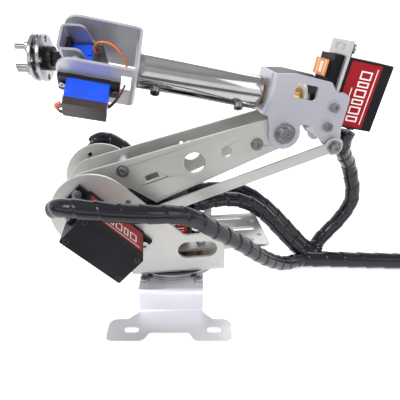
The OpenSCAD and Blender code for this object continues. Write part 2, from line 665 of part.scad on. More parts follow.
module tool_pins() color("#b0b2ba") at_tool_servo() for (i = [0:pin_count - 1])
    translate([polar(pin_ring, 90 * i)[0], polar(pin_ring, 90 * i)[1], flange_z]) {
        cylinder(r = screw_r, h = 6.4 + (i == 0 ? 14 : 8));
        translate([0, 0, 6.4]) cylinder(r = head_r, h = 2.4, $fn = 6);
    }

// Cables: a round tube swept along a smooth curve through hand-set points
function at(p, i) = p[max(0, min(len(p) - 1, i))];
function between(p, i, t) = let (a = at(p, i - 1), b = p[i], c = at(p, i + 1), d = at(p, i + 2))
    0.5 * (2 * b + (c - a) * t + (2 * a - 5 * b + 4 * c - d) * t * t + (3 * b - a - 3 * c + d) * t * t * t);
function smooth(p, n) = concat([for (i = [0:len(p) - 2], k = [0:n - 1]) between(p, i, k / n)],
    [p[len(p) - 1]]);
function way(p, i) = unit(at(p, i + 1) - at(p, i - 1));
function side(d) = unit(cross(abs(d[2]) > 0.9 ? [0, 1, 0] : [0, 0, 1], d));
module sweep(p, d, sides) {
    rings = len(p);
    spots = [for (i = [0:rings - 1], k = [0:sides - 1])
        let (w = way(p, i), u = side(w), v = cross(w, u), a = 360 * k / sides)
        p[i] + d / 2 * (cos(a) * u + sin(a) * v)];
    around = [for (i = [0:rings - 2], k = [0:sides - 1])
        let (a = i * sides + k, b = i * sides + (k + 1) % sides) [a, a + sides, b + sides, b]];
    start = [[for (k = [0:sides - 1]) k]];
    end = [[for (k = [sides - 1:-1:0]) (rings - 1) * sides + k]];
    polyhedron(spots, concat(around, start, end), convexity = 8);
}
function rowed(p) = [for (q = p) row(q)];
module harness_main() color("#17181c") {
    sweep(rowed(near_route), near_d, 10);
    sweep(rowed(trunk_route), trunk_d, 12);
}
module harness_far() color("#17181c") {
    sweep(rowed(far_route), branch_d, 10);
    sweep(rowed(base_route), branch_d, 10);
}
module harness_elbow() color("#17181c") sweep(rowed(elbow_route), branch_d, 10);
module harness_drop() color("#17181c") sweep(rowed(drop_route), branch_d, 10);
module servo_plugs() color("#202022") at_turntable() for (i = [-1, 0, 1])
    translate([208, -14 + 9 * i, 1.3 + 0.01]) box([2, 2 + plug_size[0]],
        [-plug_size[1] / 2, plug_size[1] / 2], [-1.3, plug_size[2] - 1.3]);

base_bracket();
base_screws();
bearing_lower();
base_horn();
base_servo_shaft();
bearing_upper();
turntable_bracket();
servo_tray();
tray_posts();
base_servo_case();
base_servo_cover();
elbow_servo_case();
elbow_servo_cover();
shoulder_servo_case();
shoulder_servo_cover();
turntable_screws();
arm_plate_near();
arm_plate_far();
arm_standoffs();
arm_screws();
shoulder_horn();
shoulder_servo_shaft();
crank_horn();
elbow_servo_shaft();
crank_arm();
crank_pin();
link_bar();
link_bearings();
elbow_bracket();
roll_servo_plate();
roll_servo_case();
roll_servo_cover();
forearm_screws();
elbow_bolts();
link_pin();
forearm_bearing();
roll_servo_shaft();
roll_horn();
drive_coupling();
forearm_tube();
wrist_bracket();
pitch_servo_case();
pitch_servo_cover();
wrist_screws();
pitch_servo_lead();
pitch_servo_shaft();
pitch_horn();
hand_bracket();
tool_servo_case();
tool_servo_cover();
tool_servo_lead();
tool_servo_shaft();
tool_horn();
tool_flange();
tool_pins();
harness_main();
harness_far();
harness_elbow();
harness_drop();
servo_plugs();
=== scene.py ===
"""Looks of the desktop robot arm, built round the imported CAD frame: cables, leads, labels and materials."""
import json
import math
import bpy
import bmesh
from mathutils import Matrix, Vector


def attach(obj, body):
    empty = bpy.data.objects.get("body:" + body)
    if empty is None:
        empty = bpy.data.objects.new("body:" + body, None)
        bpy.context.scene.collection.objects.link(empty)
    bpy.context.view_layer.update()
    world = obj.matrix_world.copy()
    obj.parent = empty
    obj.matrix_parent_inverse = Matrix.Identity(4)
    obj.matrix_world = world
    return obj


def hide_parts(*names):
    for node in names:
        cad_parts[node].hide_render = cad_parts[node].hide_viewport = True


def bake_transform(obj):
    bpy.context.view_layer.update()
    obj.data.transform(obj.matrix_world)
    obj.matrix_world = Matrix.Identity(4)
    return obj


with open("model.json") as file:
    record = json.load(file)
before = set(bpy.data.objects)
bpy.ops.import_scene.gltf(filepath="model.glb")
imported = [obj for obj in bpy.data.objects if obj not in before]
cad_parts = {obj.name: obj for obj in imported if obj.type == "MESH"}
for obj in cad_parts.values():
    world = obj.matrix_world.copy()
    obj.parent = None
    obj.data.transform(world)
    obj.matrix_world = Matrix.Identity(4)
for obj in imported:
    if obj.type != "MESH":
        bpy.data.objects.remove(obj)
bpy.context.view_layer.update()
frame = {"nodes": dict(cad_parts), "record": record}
nodes = frame["nodes"]
MM = 0.001

# ---------------------------------------------------------------- camera
CAMERA_AT = (0.0161, -0.2444, 0.1766)
CAMERA_DOWN = 25.57
SENSOR = 36.0
LENS = 36.9


def add_camera():
    data = bpy.data.cameras.new("camera")
    data.sensor_width = SENSOR
    data.lens = LENS
    data.clip_start = 0.01
    data.dof.use_dof = False
    camera = bpy.data.objects.new("camera", data)
    camera.location = CAMERA_AT
    camera.rotation_euler = (math.radians(90 - CAMERA_DOWN), 0, 0)
    bpy.context.scene.collection.objects.link(camera)
    bpy.context.scene.camera = camera


add_camera()


# ---------------------------------------------------------------- frames of the parts, as in the CAD source
def move(x, y, z):
    return Matrix.Translation(Vector((x, y, z)) * MM)


def turned(axis, degrees):
    return Matrix.Rotation(math.radians(degrees), 4, axis)


ROW = Matrix.Identity(4)
TURNTABLE = move(-2, 0, 0) @ turned("Z", 7)
SHOULDER = TURNTABLE @ move(-47.3, 0, 67.5)
ARM = SHOULDER @ turned("Y", -19)
FOREARM = ARM @ move(121, 0, 0) @ turned("Y", 30.3)
TUBE = FOREARM @ move(-17.5, 0, 18.4)
WRIST = TUBE @ turned("X", 45)
HAND = WRIST @ move(-102.5, 0, 0) @ turned("Y", -12)
BASE_SERVO = TURNTABLE @ move(0, 0, 35) @ turned("Z", 180) @ turned("X", 180)
ELBOW_SERVO = SHOULDER @ move(0, -29, 0) @ turned("Y", 45.4) @ turned("X", -90)
SHOULDER_SERVO = SHOULDER @ move(0, 29, 0) @ turned("Y", 45.4) @ turned("X", 90)
ROLL_SERVO = FOREARM @ move(26.2, 0, 18.4) @ turned("Y", -90)
PITCH_SERVO = WRIST @ move(-102.5, -14.5, 0) @ turned("X", -90)
TOOL_SERVO = HAND @ move(-7, 0, 0) @ turned("Y", -90) @ turned("Z", 180)


# ---------------------------------------------------------------- materials
def node_material(name):
    material = bpy.data.materials.new(name)
    material.use_nodes = True
    tree = material.node_tree
    return material, tree, tree.nodes["Principled BSDF"]


def texture_space(tree, scale):
    coords = tree.nodes.new("ShaderNodeTexCoord")
    mapping = tree.nodes.new("ShaderNodeMapping")
    mapping.inputs["Scale"].default_value = scale
    tree.links.new(coords.outputs["Object"], mapping.inputs["Vector"])
    return mapping.outputs["Vector"]


def noise(tree, scale, detail=3.0, stretch=(1, 1, 1)):
    node = tree.nodes.new("ShaderNodeTexNoise")
    node.inputs["Scale"].default_value = scale
    node.inputs["Detail"].default_value = detail
    tree.links.new(texture_space(tree, stretch), node.inputs["Vector"])
    return node.outputs["Fac"]


def ramp(tree, factor, low, high, start=0.3, end=0.7):
    node = tree.nodes.new("ShaderNodeValToRGB")
    node.color_ramp.elements[0].position = start
    node.color_ramp.elements[0].color = low
    node.color_ramp.elements[1].position = end
    node.color_ramp.elements[1].color = high
    tree.links.new(factor, node.inputs["Fac"])
    return node.outputs["Color"]


def spread(tree, factor, low, high):
    node = tree.nodes.new("ShaderNodeMapRange")
    node.inputs["To Min"].default_value = low
    node.inputs["To Max"].default_value = high
    tree.links.new(factor, node.inputs["Value"])
    return node.outputs["Result"]


def bump(tree, shader, factor, distance):
    node = tree.nodes.new("ShaderNodeBump")
    node.inputs["Strength"].default_value = BUMP_STRENGTH
    node.inputs["Distance"].default_value = distance
    tree.links.new(factor, node.inputs["Height"])
    tree.links.new(node.outputs["Normal"], shader.inputs["Normal"])


def shade(colour, amount):
    return tuple(max(0.0, min(1.0, c * amount)) for c in colour) + (1.0,)


COAT_ROUGHNESS = 0.12
BUMP_STRENGTH = 0.25
GRAIN_DETAIL = 2.0


def surface(name, colour, rough, metallic=0.0, vary=0.06, rough_vary=0.06, patch=60, grain=2500,
            grain_depth=0.00002, stretch=(1, 1, 1), coat=0.0, anisotropic=0.0, specular=0.5):
    """Colour patches, uneven gloss and a fine grain, all from noise in the object's own space."""
    material, tree, shader = node_material(name)
    broad = noise(tree, patch)
    fine = noise(tree, grain, GRAIN_DETAIL, stretch)
    tone = ramp(tree, broad, shade(colour, 1 - vary), shade(colour, 1 + vary))
    tree.links.new(tone, shader.inputs["Base Color"])
    tree.links.new(spread(tree, fine, rough - rough_vary, rough + rough_vary), shader.inputs["Roughness"])
    shader.inputs["Metallic"].default_value = metallic
    shader.inputs["Specular IOR Level"].default_value = specular
    shader.inputs["Coat Weight"].default_value = coat
    shader.inputs["Coat Roughness"].default_value = COAT_ROUGHNESS
    shader.inputs["Anisotropic"].default_value = anisotropic
    bump(tree, shader, fine, grain_depth)
    return material


MATERIALS = {
    "silver_sheet": surface("silver_sheet", (0.45, 0.45, 0.50), 0.36, 0.65, 0.03, 0.05, 25, 1800),
    # The base bracket's copy of silver_sheet is much lighter: painted light, for the brighter light that falls
    # on the base.
    "silver_sheet_painted_lit": surface("silver_sheet_painted_lit", (0.80, 0.80, 0.84), 0.36, 0.65, 0.03, 0.05, 25, 1800),
    # The faint warm tint of brushed_sheet is partly painted: a painted golden reflection on the turntable's
    # walls, over the brushed metal's own tone.
    "brushed_sheet": surface("brushed_sheet", (0.50, 0.495, 0.475), 0.38, 0.60, 0.04, 0.07, 20, 3000,
                             stretch=(0.05, 1, 1), anisotropic=0.3),
    "grey_sheet": surface("grey_sheet", (0.52, 0.52, 0.56), 0.36, 0.50, 0.05, 0.05, 25, 1800),
    "steel": surface("steel", (0.34, 0.34, 0.35), 0.24, 1.0, 0.10, 0.06, 200, 2500),
    "polished_tube": surface("polished_tube", (0.40, 0.395, 0.385), 0.14, 1.0, 0.04, 0.04, 90, 1500,
                             stretch=(0.1, 1, 1)),
    "brass": surface("brass", (0.60, 0.40, 0.15), 0.28, 1.0, 0.10, 0.06, 150, 2000),
    "servo_black": surface("servo_black", (0.010, 0.0105, 0.013), 0.46, 0.0, 0.25, 0.08, 40, 3500, 0.00004,
                           specular=0.12),
    "servo_label": surface("servo_label", (0.30, 0.004, 0.012), 0.30, 0.0, 0.10, 0.05, 120, 2500, specular=0.2),
    "micro_blue": surface("micro_blue", (0.004, 0.085, 0.82), 0.24, 0.0, 0.12, 0.05, 90, 2500, specular=0.4,
                          coat=0.2),
    "micro_cap": surface("micro_cap", (0.045, 0.034, 0.032), 0.38, 0.0, 0.2, 0.06, 80, 3000, 0.00004,
                         specular=0.4),
    "horn_black": surface("horn_black", (0.012, 0.012, 0.013), 0.32, 0.0, 0.2, 0.06, 90, 2500, specular=0.3),
    "white_plastic": surface("white_plastic", (0.70, 0.70, 0.68), 0.40, 0.0, 0.03, 0.05, 90, 2500),
    "wire": surface("wire", (0.45, 0.13, 0.03), 0.35, 0.0, 0.1, 0.05, 90, 2500),
    "spiral_wrap": surface("spiral_wrap", (0.005, 0.006, 0.010), 0.20, 0.0, 0.3, 0.05, 90, 900, 0.00005,
                           coat=0.3, specular=0.25),
    "plug_black": surface("plug_black", (0.015, 0.015, 0.016), 0.42, 0.0, 0.2, 0.06, 90, 2500, specular=0.3),
}
WIRE_COLOURS = {
    "brown": (0.10, 0.035, 0.015), "red": (0.60, 0.02, 0.015), "orange": (0.72, 0.22, 0.02),
    "white": (0.82, 0.82, 0.80), "green": (0.03, 0.33, 0.10), "yellow": (0.75, 0.52, 0.03),
    "black": (0.02, 0.02, 0.02),
}
for wire_name, wire_colour in WIRE_COLOURS.items():
    MATERIALS["wire_" + wire_name] = surface("wire_" + wire_name, wire_colour, 0.32, coat=0.3)
MATERIALS["label_pale"] = surface("label_pale", (0.86, 0.80, 0.78), 0.30)
MATERIALS["sticker"] = surface("sticker", (0.80, 0.16, 0.02), 0.35)
MATERIALS["sticker_yellow"] = surface("sticker_yellow", (0.85, 0.50, 0.10), 0.35)


# ---------------------------------------------------------------- mesh helpers
SHARP_ANGLE = 40.0
CABLE_SHARP_ANGLE = 35.0


def piece(name, verts, faces, materials, body=None, smooth=SHARP_ANGLE, matrix=ROW, face_slots=None):
    """A mesh from points in millimetres of the frame `matrix`, riding on `body` if that is given."""
    mesh = bpy.data.meshes.new(name)
    mesh.from_pydata([matrix @ (Vector(v) * MM) for v in verts], [], faces)
    mesh.validate()
    for m in materials:
        mesh.materials.append(MATERIALS[m])
    if face_slots:
        mesh.polygons.foreach_set("material_index", face_slots)
    obj = bpy.data.objects.new(name, mesh)
    bpy.context.scene.collection.objects.link(obj)
    tidy = bmesh.new()
    tidy.from_mesh(mesh)
    bmesh.ops.recalc_face_normals(tidy, faces=tidy.faces)
    tidy.to_mesh(mesh)
    tidy.free()
    mesh.shade_smooth()
    mesh.set_sharp_from_angle(angle=math.radians(smooth))
    if body:
        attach(obj, body)
    return obj


class Build:
    """Collects closed shapes of one piece, each with its own material."""

    def __init__(self):
        self.verts, self.faces, self.slots, self.materials = [], [], [], []

    def add(self, verts, faces, material):
        if material not in self.materials:
            self.materials.append(material)
        base = len(self.verts)
        self.verts += [tuple(v) for v in verts]
        self.faces += [tuple(base + i for i in f) for f in faces]
        self.slots += [self.materials.index(material)] * len(faces)

    def block(self, low, high, material, cut=0.0):
        """A box, its four upright edges cut back by `cut`."""
        (x0, y0, z0), (x1, y1, z1) = low, high
        ring = [(x0 + cut, y0), (x1 - cut, y0), (x1, y0 + cut), (x1, y1 - cut),
                (x1 - cut, y1), (x0 + cut, y1), (x0, y1 - cut), (x0, y0 + cut)]
        if cut == 0:
            ring = [(x0, y0), (x1, y0), (x1, y1), (x0, y1)]
        self.prism(ring, z0, z1, material)

    def prism(self, outline, z0, z1, material):
        n = len(outline)
        verts = [(x, y, z0) for x, y in outline] + [(x, y, z1) for x, y in outline]
        faces = [tuple(range(n - 1, -1, -1)), tuple(range(n, 2 * n))]
        faces += [(i, (i + 1) % n, n + (i + 1) % n, n + i) for i in range(n)]
        self.add(verts, faces, material)

    def lathe(self, profile, centre, material, sides):
        """A closed turned shape: profile is (radius, height) from the axis round to the axis."""
        verts, faces, rings = [], [], []
        for r, z in profile:
            if r == 0:
                rings.append([len(verts)])
                verts.append(Vector((0, 0, z)))
            else:
                rings.append(list(range(len(verts), len(verts) + sides)))
                verts += [Vector((r * math.cos(math.tau * k / sides), r * math.sin(math.tau * k / sides), z))
                          for k in range(sides)]
        for a, b in zip(rings, rings[1:]):
            for k in range(sides):
                n = (k + 1) % sides
                if len(a) == 1:
                    faces.append((a[0], b[n], b[k]))
                elif len(b) == 1:
                    faces.append((a[k], a[n], b[0]))
                else:
                    faces.append((a[k], a[n], b[n], b[k]))
        self.add([v + Vector(centre) for v in verts], faces, material)

    def finish(self, name, body, matrix):
        return piece(name, self.verts, self.faces, self.materials, body, matrix=matrix, face_slots=self.slots)


def smooth_path(points, steps=8):
    """The CAD source's curve through given points."""
    p = [Vector(q) for q in points]
    last = len(p) - 1
    out = []
    for i in range(last):
        a, b, c, d = p[max(0, i - 1)], p[i], p[i + 1], p[min(last, i + 2)]
        for k in range(steps):
            t = k / steps
            out.append(0.5 * (2 * b + (c - a) * t + (2 * a - 5 * b + 4 * c - d) * t * t
                              + (3 * b - a - 3 * c + d) * t * t * t))
    return out + [p[last]]


def path_length(path):
    return sum((b - a).length for a, b in zip(path, path[1:]))


def resampled(path, step):
    """The same path with points evenly spaced, about `step` apart."""
    total = path_length(path)
    count = max(2, round(total / step))
    out, walked, i = [path[0]], 0.0, 0
    for k in range(1, count):
        target = total * k / count
        while walked + (path[i + 1] - path[i]).length < target:
            walked += (path[i + 1] - path[i]).length
            i += 1
        out.append(path[i].lerp(path[i + 1], (target - walked) / (path[i + 1] - path[i]).length))
    return out + [path[-1]]


def frames_along(path, across=None):
    """Points with two steady cross directions, the first of them from across if it is given."""
    out = []
    for i, p in enumerate(path):
        way = (path[min(i + 1, len(path) - 1)] - path[max(i - 1, 0)]).normalized()
        if across is None:
            across = way.orthogonal().normalized()
        across = (across - way * across.dot(way)).normalized()
        out.append((p, across, way.cross(across)))
    return out


def tube_mesh(path, radius, sides, rings=None, start=0.0):
    """A closed tube; radius(distance, angle) in the path's unit, the distance counted from start."""
    rings = rings or frames_along(path)
    verts, walked = [], start
    for i, (p, u, v) in enumerate(rings):
        if i:
            walked += (p - rings[i - 1][0]).length
        for k in range(sides):
            a = math.tau * k / sides
            verts.append(p + radius(walked, a) * (math.cos(a) * u + math.sin(a) * v))
    faces = []
    for i in range(len(rings) - 1):
        low, high = i * sides, (i + 1) * sides
        for k in range(sides):
            n = (k + 1) % sides
            faces.append((low + k, low + n, high + n, high + k))
    faces += [tuple(range(sides - 1, -1, -1)), tuple(range(len(verts) - sides, len(verts)))]
    return verts, faces


# ---------------------------------------------------------------- cables
NEAR_D, BRANCH_D, TRUNK_D = 10.4, 11.0, 12.0
JUNCTION = (94.5, -1.5, 6.5)
NEAR_ROUTE = [(-62, -54.5, 84), (-57, -58.7, 86.5), (-50, -61.7, 87), (-40, -62.2, 85.5), (-28, -61.2, 83),
              (-14, -59.2, 80.5), (0, -56, 77.5), (10, -52, 72), (20, -47.5, 63), (30, -42, 54),
              (40, -36.5, 44.5), (49, -31, 35), (58, -25, 26), (67, -18.5, 18), (76, -12, 11.5),
              (85, -6, 8), JUNCTION]
TRUNK_ROUTE = [JUNCTION, (110, -3.5, 6.5), (125, -6, 6.5), (140, -8.5, 6.5), (155, -11, 6.5),
               (168, -13.5, 6.5), (182, -15, 6.5), (196, -15, 6.5), (208, -14, 6.5)]
FAR_ROUTE = [(-55, 51, 84), (-47, 52, 87.5), (-37, 50.5, 84), (-28, 47, 77), (-20, 43, 68), (-12, 40, 59.5),
             (-4, 38.5, 53), (5, 38, 50.5), (15, 37.6, 50), (26, 36.8, 50), (36, 35.5, 50.5), (46, 33, 50.5),
             (55, 29.5, 49.5), (63, 25.5, 45.5), (71, 21.5, 39.5), (79, 18, 32), (87, 14.5, 23.5),
             (95, 10.5, 15), (102, 6, 9.5), (109, 1.5, 7.5)]
BASE_ROUTE = [(12.6, 0, 55.8), (20, 2, 55.5), (28, 6, 55), (37, 10, 53.5), (46, 13, 51), (54, 14.5, 47.5),
              (62, 14.5, 42.5), (70, 13.5, 35.5), (77, 12, 28), (84, 10, 20.5), (91, 6.5, 13.5),
              (98, 2.5, 9), (104, -1, 7.5)]
ELBOW_ROUTE = [(114.4, 0.2, 101.9), (113.6, 1, 97.5), (114, 3, 92.5), (116, 5.8, 87.5), (119.5, 9, 82.5),
               (123.5, 12, 77.5), (127, 14.5, 72), (129.7, 15.7, 65.2)]
DROP_ROUTE = [(130.1, 15.9, 64), (132.5, 16, 57.5), (134, 16, 50), (133.8, 16, 42.5), (131, 16, 35.5),
              (127, 16, 28.5), (121.5, 15.5, 22), (115, 14, 16), (108.5, 10.5, 10.5), (103, 6, 8), (98, 2, 7)]
WRAP_PITCH = 11.0
TRUNK_PITCH = 13.0
BAND_STEP = 0.10
GROOVE_DEPTH = 0.10
GROOVE_SHARE = 0.06
CABLE_SIDES = 32
CURVE_STEPS = 12
RING_STEP = 0.6


def on_row(point):
    """A point of the turntable's frame, in millimetres, as metres of the row frame."""
    return TURNTABLE @ (Vector(point) * MM)


def fine(route):
    """A route of the turntable's frame as a fine path of the row frame, in metres."""
    return resampled(smooth_path([on_row(p) for p in route], CURVE_STEPS), RING_STEP * MM)


def wrapped(diameter, pitch):
    """Radius of a spiral-wrapped cable: flat bands, each with a step and a groove at its edge."""
    full = diameter / 2

    def radius(distance, angle):
        phase = (distance / pitch - angle / math.tau) % 1.0
        groove = GROOVE_DEPTH * full * max(0.0, 1 - phase / GROOVE_SHARE)
        return full * (1.0 - BAND_STEP * phase) - groove

    return radius


def cable(name, path, diameter, cad_node, blend=None, pitch=WRAP_PITCH, rings=None,
          start=0.0):
    """One spiral-wrapped cable along a path of the row frame."""
    verts, faces = tube_mesh(path, wrapped(diameter * MM, pitch * MM), CABLE_SIDES, rings, start)
    obj = piece(name, [v / MM for v in verts], faces, ["spiral_wrap"], None, CABLE_SHARP_ANGLE)
    if blend:
        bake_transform(obj)
    else:
        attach(obj, "turntable")
    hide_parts(cad_node)
    return obj


PLUG_AT = (220, -14)
PLUG_L, PLUG_W, PLUG_H = 14, 7.8, 2.6
PLUG_ACROSS, PLUG_UP = 9, 2.75
PLUG_FLOOR = 0.01
CONTACT_PITCH = 2.5
CONTACT_FROM, CONTACT_TO = 4, 9
CONTACT_HALF, CONTACT_H = 0.7, 0.04


def connectors():
    """Six three-pin sockets, two high, with their contact windows."""
    b = Build()
    for i in (-1, 0, 1):
        for j in (0, 1):
            x, y = PLUG_AT[0], PLUG_AT[1] + PLUG_ACROSS * i
            z = PLUG_FLOOR + PLUG_UP * j
            b.block((x, y - PLUG_W / 2, z), (x + PLUG_L, y + PLUG_W / 2, z + PLUG_H), "plug_black", 0.4)
            for k in (-1, 0, 1):
                middle, top = y + CONTACT_PITCH * k, z + PLUG_H
                b.block((x + CONTACT_FROM, middle - CONTACT_HALF, top),
                        (x + CONTACT_TO, middle + CONTACT_HALF, top + CONTACT_H), "brass")
    obj = b.finish("connector_sockets", "turntable", TURNTABLE)
    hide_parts("servo_plugs")
    return obj


plugs = connectors()
cable("cable_near_branch", fine(NEAR_ROUTE), NEAR_D, "harness_main")
cable("cable_trunk", fine(TRUNK_ROUTE), TRUNK_D, "harness_main", pitch=TRUNK_PITCH)
cable("cable_far_branch", fine(FAR_ROUTE), BRANCH_D, "harness_far")
cable("cable_base_branch", fine(BASE_ROUTE), BRANCH_D, "harness_far")


def elbow_cables():
    """The elbow branch is one cable in two meshes, one on the elbow's side and the other on the shoulder's;
    both stay fixed in the row frame.
    """
    path = fine(ELBOW_ROUTE[:-1] + DROP_ROUTE[1:])
    rings = frames_along(path)
    cut = min(range(len(path)), key=lambda i: (path[i] - on_row(DROP_ROUTE[1])).length)
    with_elbow = ("forearm", "upper_arm", on_row((114, 2, 97)), on_row((131.5, 15.5, 61)))
    with_shoulder = ("upper_arm", "turntable", on_row((133, 16, 54)), on_row((108, 10, 10)))
    upper = cable("cable_elbow_branch", path[:cut + 1], BRANCH_D, "harness_elbow", with_elbow,
                  rings=rings[:cut + 1])
    cable("cable_drop_branch", path[cut:], BRANCH_D, "harness_drop", with_shoulder,
          rings=rings[cut:], start=path_length(path[:cut + 1]))


elbow_cables()


# ---------------------------------------------------------------- carried-over CAD nodes
EDGE = {"silver_sheet": 0.35, "brushed_sheet": 0.3, "grey_sheet": 0.3, "servo_black": 0.45,
        "micro_blue": 0.3, "micro_cap": 0.4, "steel": 0.2, "brass": 0.2, "horn_black": 0.3,
        "white_plastic": 0.2, "polished_tube": 0.3}
WELD_WITHIN = 1e-6
EDGE_SEGMENTS = 2
EDGE_ANGLE = 40


def dress_nodes():
    """Each CAD node gets its slot's material and slightly rounded edges."""
    for row in frame["record"]["subparts"]:
        obj = nodes[row["node"]]
        slot = row["material_slot"]
        obj.data.materials.clear()
        # The base bracket takes the lighter copy of silver_sheet, with painted light.
        obj.data.materials.append(MATERIALS["silver_sheet_painted_lit" if row["node"] == "base_bracket" else slot])
        if slot not in EDGE:
            continue
        weld = obj.modifiers.new("weld", "WELD")
        weld.merge_threshold = WELD_WITHIN
        round_edges = obj.modifiers.new("edges", "BEVEL")
        round_edges.width = EDGE[slot] * MM
        round_edges.segments = EDGE_SEGMENTS
        round_edges.limit_method = "ANGLE"
        round_edges.angle_limit = math.radians(EDGE_ANGLE)
        round_edges.harden_normals = False


BLUE_TOP = -2.6
BAND_X = (-6.0, 16.8)
BAND_Z = (-2.5, 1.6)
BAND_Y = (6.0, 6.2)


def black_top(node, matrix, body):
    """A micro servo's case is black above BLUE_TOP, tabs included, and blue below it."""
    mesh = nodes[node].data
    mesh.materials.append(MATERIALS["horn_black"])
    to_servo = matrix.inverted()
    for face in mesh.polygons:
        if (to_servo @ face.center).z / MM > BLUE_TOP:
            face.material_index = 1
    b = Build()
    for side in (-1, 1):
        y0, y1 = sorted((BAND_Y[0] * side, BAND_Y[1] * side))
        b.block((BAND_X[0], y0, BAND_Z[0]), (BAND_X[1], y1, BAND_Z[1]), "horn_black")
    b.finish(node + "_band", body, matrix)


dress_nodes()
black_top("pitch_servo_case", PITCH_SERVO, "wrist")
black_top("tool_servo_case", TOOL_SERVO, "hand")


# ---------------------------------------------------------------- servo labels and screws
CASE_HALF = 10.0
FILM_SUNK, FILM_H, INK_H = 0.02, 0.12, 0.17
FILM_LOW, FILM_HIGH = (-8.6, -23.2), (28.6, -3.6)
FRAMES_AT = [(-5.5, 3.4), (-0.9, 4.6), (4.9, 3.2), (9.3, 4.6), (15.1, 3.2), (19.5, 4.8)]
FRAME_LOW, FRAME_HIGH = -18.5, -11.2
STROKE_X, STROKE_Z = 0.8, 0.9
RULES = [((-6.5, -21.4), (26.5, -20.8)), ((-6.5, -8.9), (14.0, -8.3)), ((-6.5, -6.9), (8.0, -6.4))]
COVER_SCREW = [(0, -29.9), (1.7, -29.9), (1.7, -30.05), (1.4, -30.1), (0.9, -30.1), (0.8, -29.95), (0, -29.95)]
COVER_SCREW_SIDES = 20


def big_servo_details(name, matrix, body):
    """Film labels with pale outlined boxes on both long sides, and four screws in the bottom cover."""
    b = Build()
    for side in (-1, 1):
        face = CASE_HALF * side
        skin, ink = face + FILM_H * side, face + INK_H * side
        y0, y1 = sorted((face - FILM_SUNK * side, skin))
        b.block((FILM_LOW[0], y0, FILM_LOW[1]), (FILM_HIGH[0], y1, FILM_HIGH[1]), "servo_label")
        y0, y1 = sorted((skin, ink))
        for x, w in FRAMES_AT:
            x0, x1 = x + STROKE_X, x + w - STROKE_X
            strokes = [((x, FRAME_LOW), (x0, FRAME_HIGH)),
                       ((x1, FRAME_LOW), (x + w, FRAME_HIGH)),
                       ((x0, FRAME_LOW), (x1, FRAME_LOW + STROKE_Z)),
                       ((x0, FRAME_HIGH - STROKE_Z), (x1, FRAME_HIGH))]
            for low, high in strokes:
                b.block((low[0], y0, low[1]), (high[0], y1, high[1]), "label_pale")
        for low, high in RULES:
            b.block((low[0], y0, low[1]), (high[0], y1, high[1]), "label_pale")
    obj = b.finish(name + "_labels", body, matrix)
    s = Build()
    for x in (-7.4, 27.4):
        for y in (-7.4, 7.4):
            s.lathe(COVER_SCREW, (x, y, 0), "horn_black", COVER_SCREW_SIDES)
    obj = s.finish(name + "_cover_screws", body, matrix)


big_servo_details("elbow_servo", ELBOW_SERVO, "turntable")
big_servo_details("shoulder_servo", SHOULDER_SERVO, "turntable")
big_servo_details("base_servo", BASE_SERVO, "turntable")
big_servo_details("roll_servo", ROLL_SERVO, "forearm")


BIG_LEAD = ("black", "red", "white")
WIRE_SIDES = 10


def flat_lead(name, route, matrix, body, colours=("orange", "red", "brown"), gap=1.15, wire=1.1, across=None):
    """Insulated wires side by side along a route of the frame `matrix`; body is the name of a part to ride on,
    else the wires stay fixed in the row frame.
    """
    path = resampled(smooth_path(route), RING_STEP)
    b = Build()
    rings = frames_along(path, across)
    for n, colour in enumerate(colours):
        offset = (n - (len(colours) - 1) / 2) * gap
        line = [ring[0] + ring[1] * offset for ring in rings]
        verts, faces = tube_mesh(line, lambda distance, angle: wire / 2, WIRE_SIDES)
        b.add(verts, faces, "wire_" + colour)
    obj = b.finish(name, None, matrix)
    if isinstance(body, str):
        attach(obj, body)
    else:
        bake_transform(obj)
    return obj


LEAD_ROUTE = [(-109.5, -30, 0), (-112, -30.3, -2.5), (-111.6, -30, -6.5), (-108.5, -29.2, -9),
              (-103, -28.3, -9.6), (-96, -26.5, -9.6), (-89.5, -24, -9), (-85, -22.2, -6.6), (-82, -20.6, -2.4),
              (-79.7, -18.7, 2.5), (-78.2, -15, 5)]
HAND_LEAD_ROUTE = [(9.2, 0, 7.6), (9.8, 0, 12), (12.8, 0, 15.2), (17.8, -0.5, 15), (22, -2, 11.5),
                   (24.8, -4.5, 6.5), (25.8, -8.5, 2)]
pitch_lead = flat_lead("pitch_servo_wires", LEAD_ROUTE, WRIST, "wrist")
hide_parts("pitch_servo_lead")


def on_hand(point):
    """A point of the hand's frame, in millimetres, as metres of the row frame."""
    return HAND @ (Vector(point) * MM)


hand_lead = flat_lead("tool_servo_wires", HAND_LEAD_ROUTE, HAND,
                      ("hand", "wrist", on_hand((11, 0, 12)), on_hand((25.5, -8, 3))))
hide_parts("tool_servo_lead")


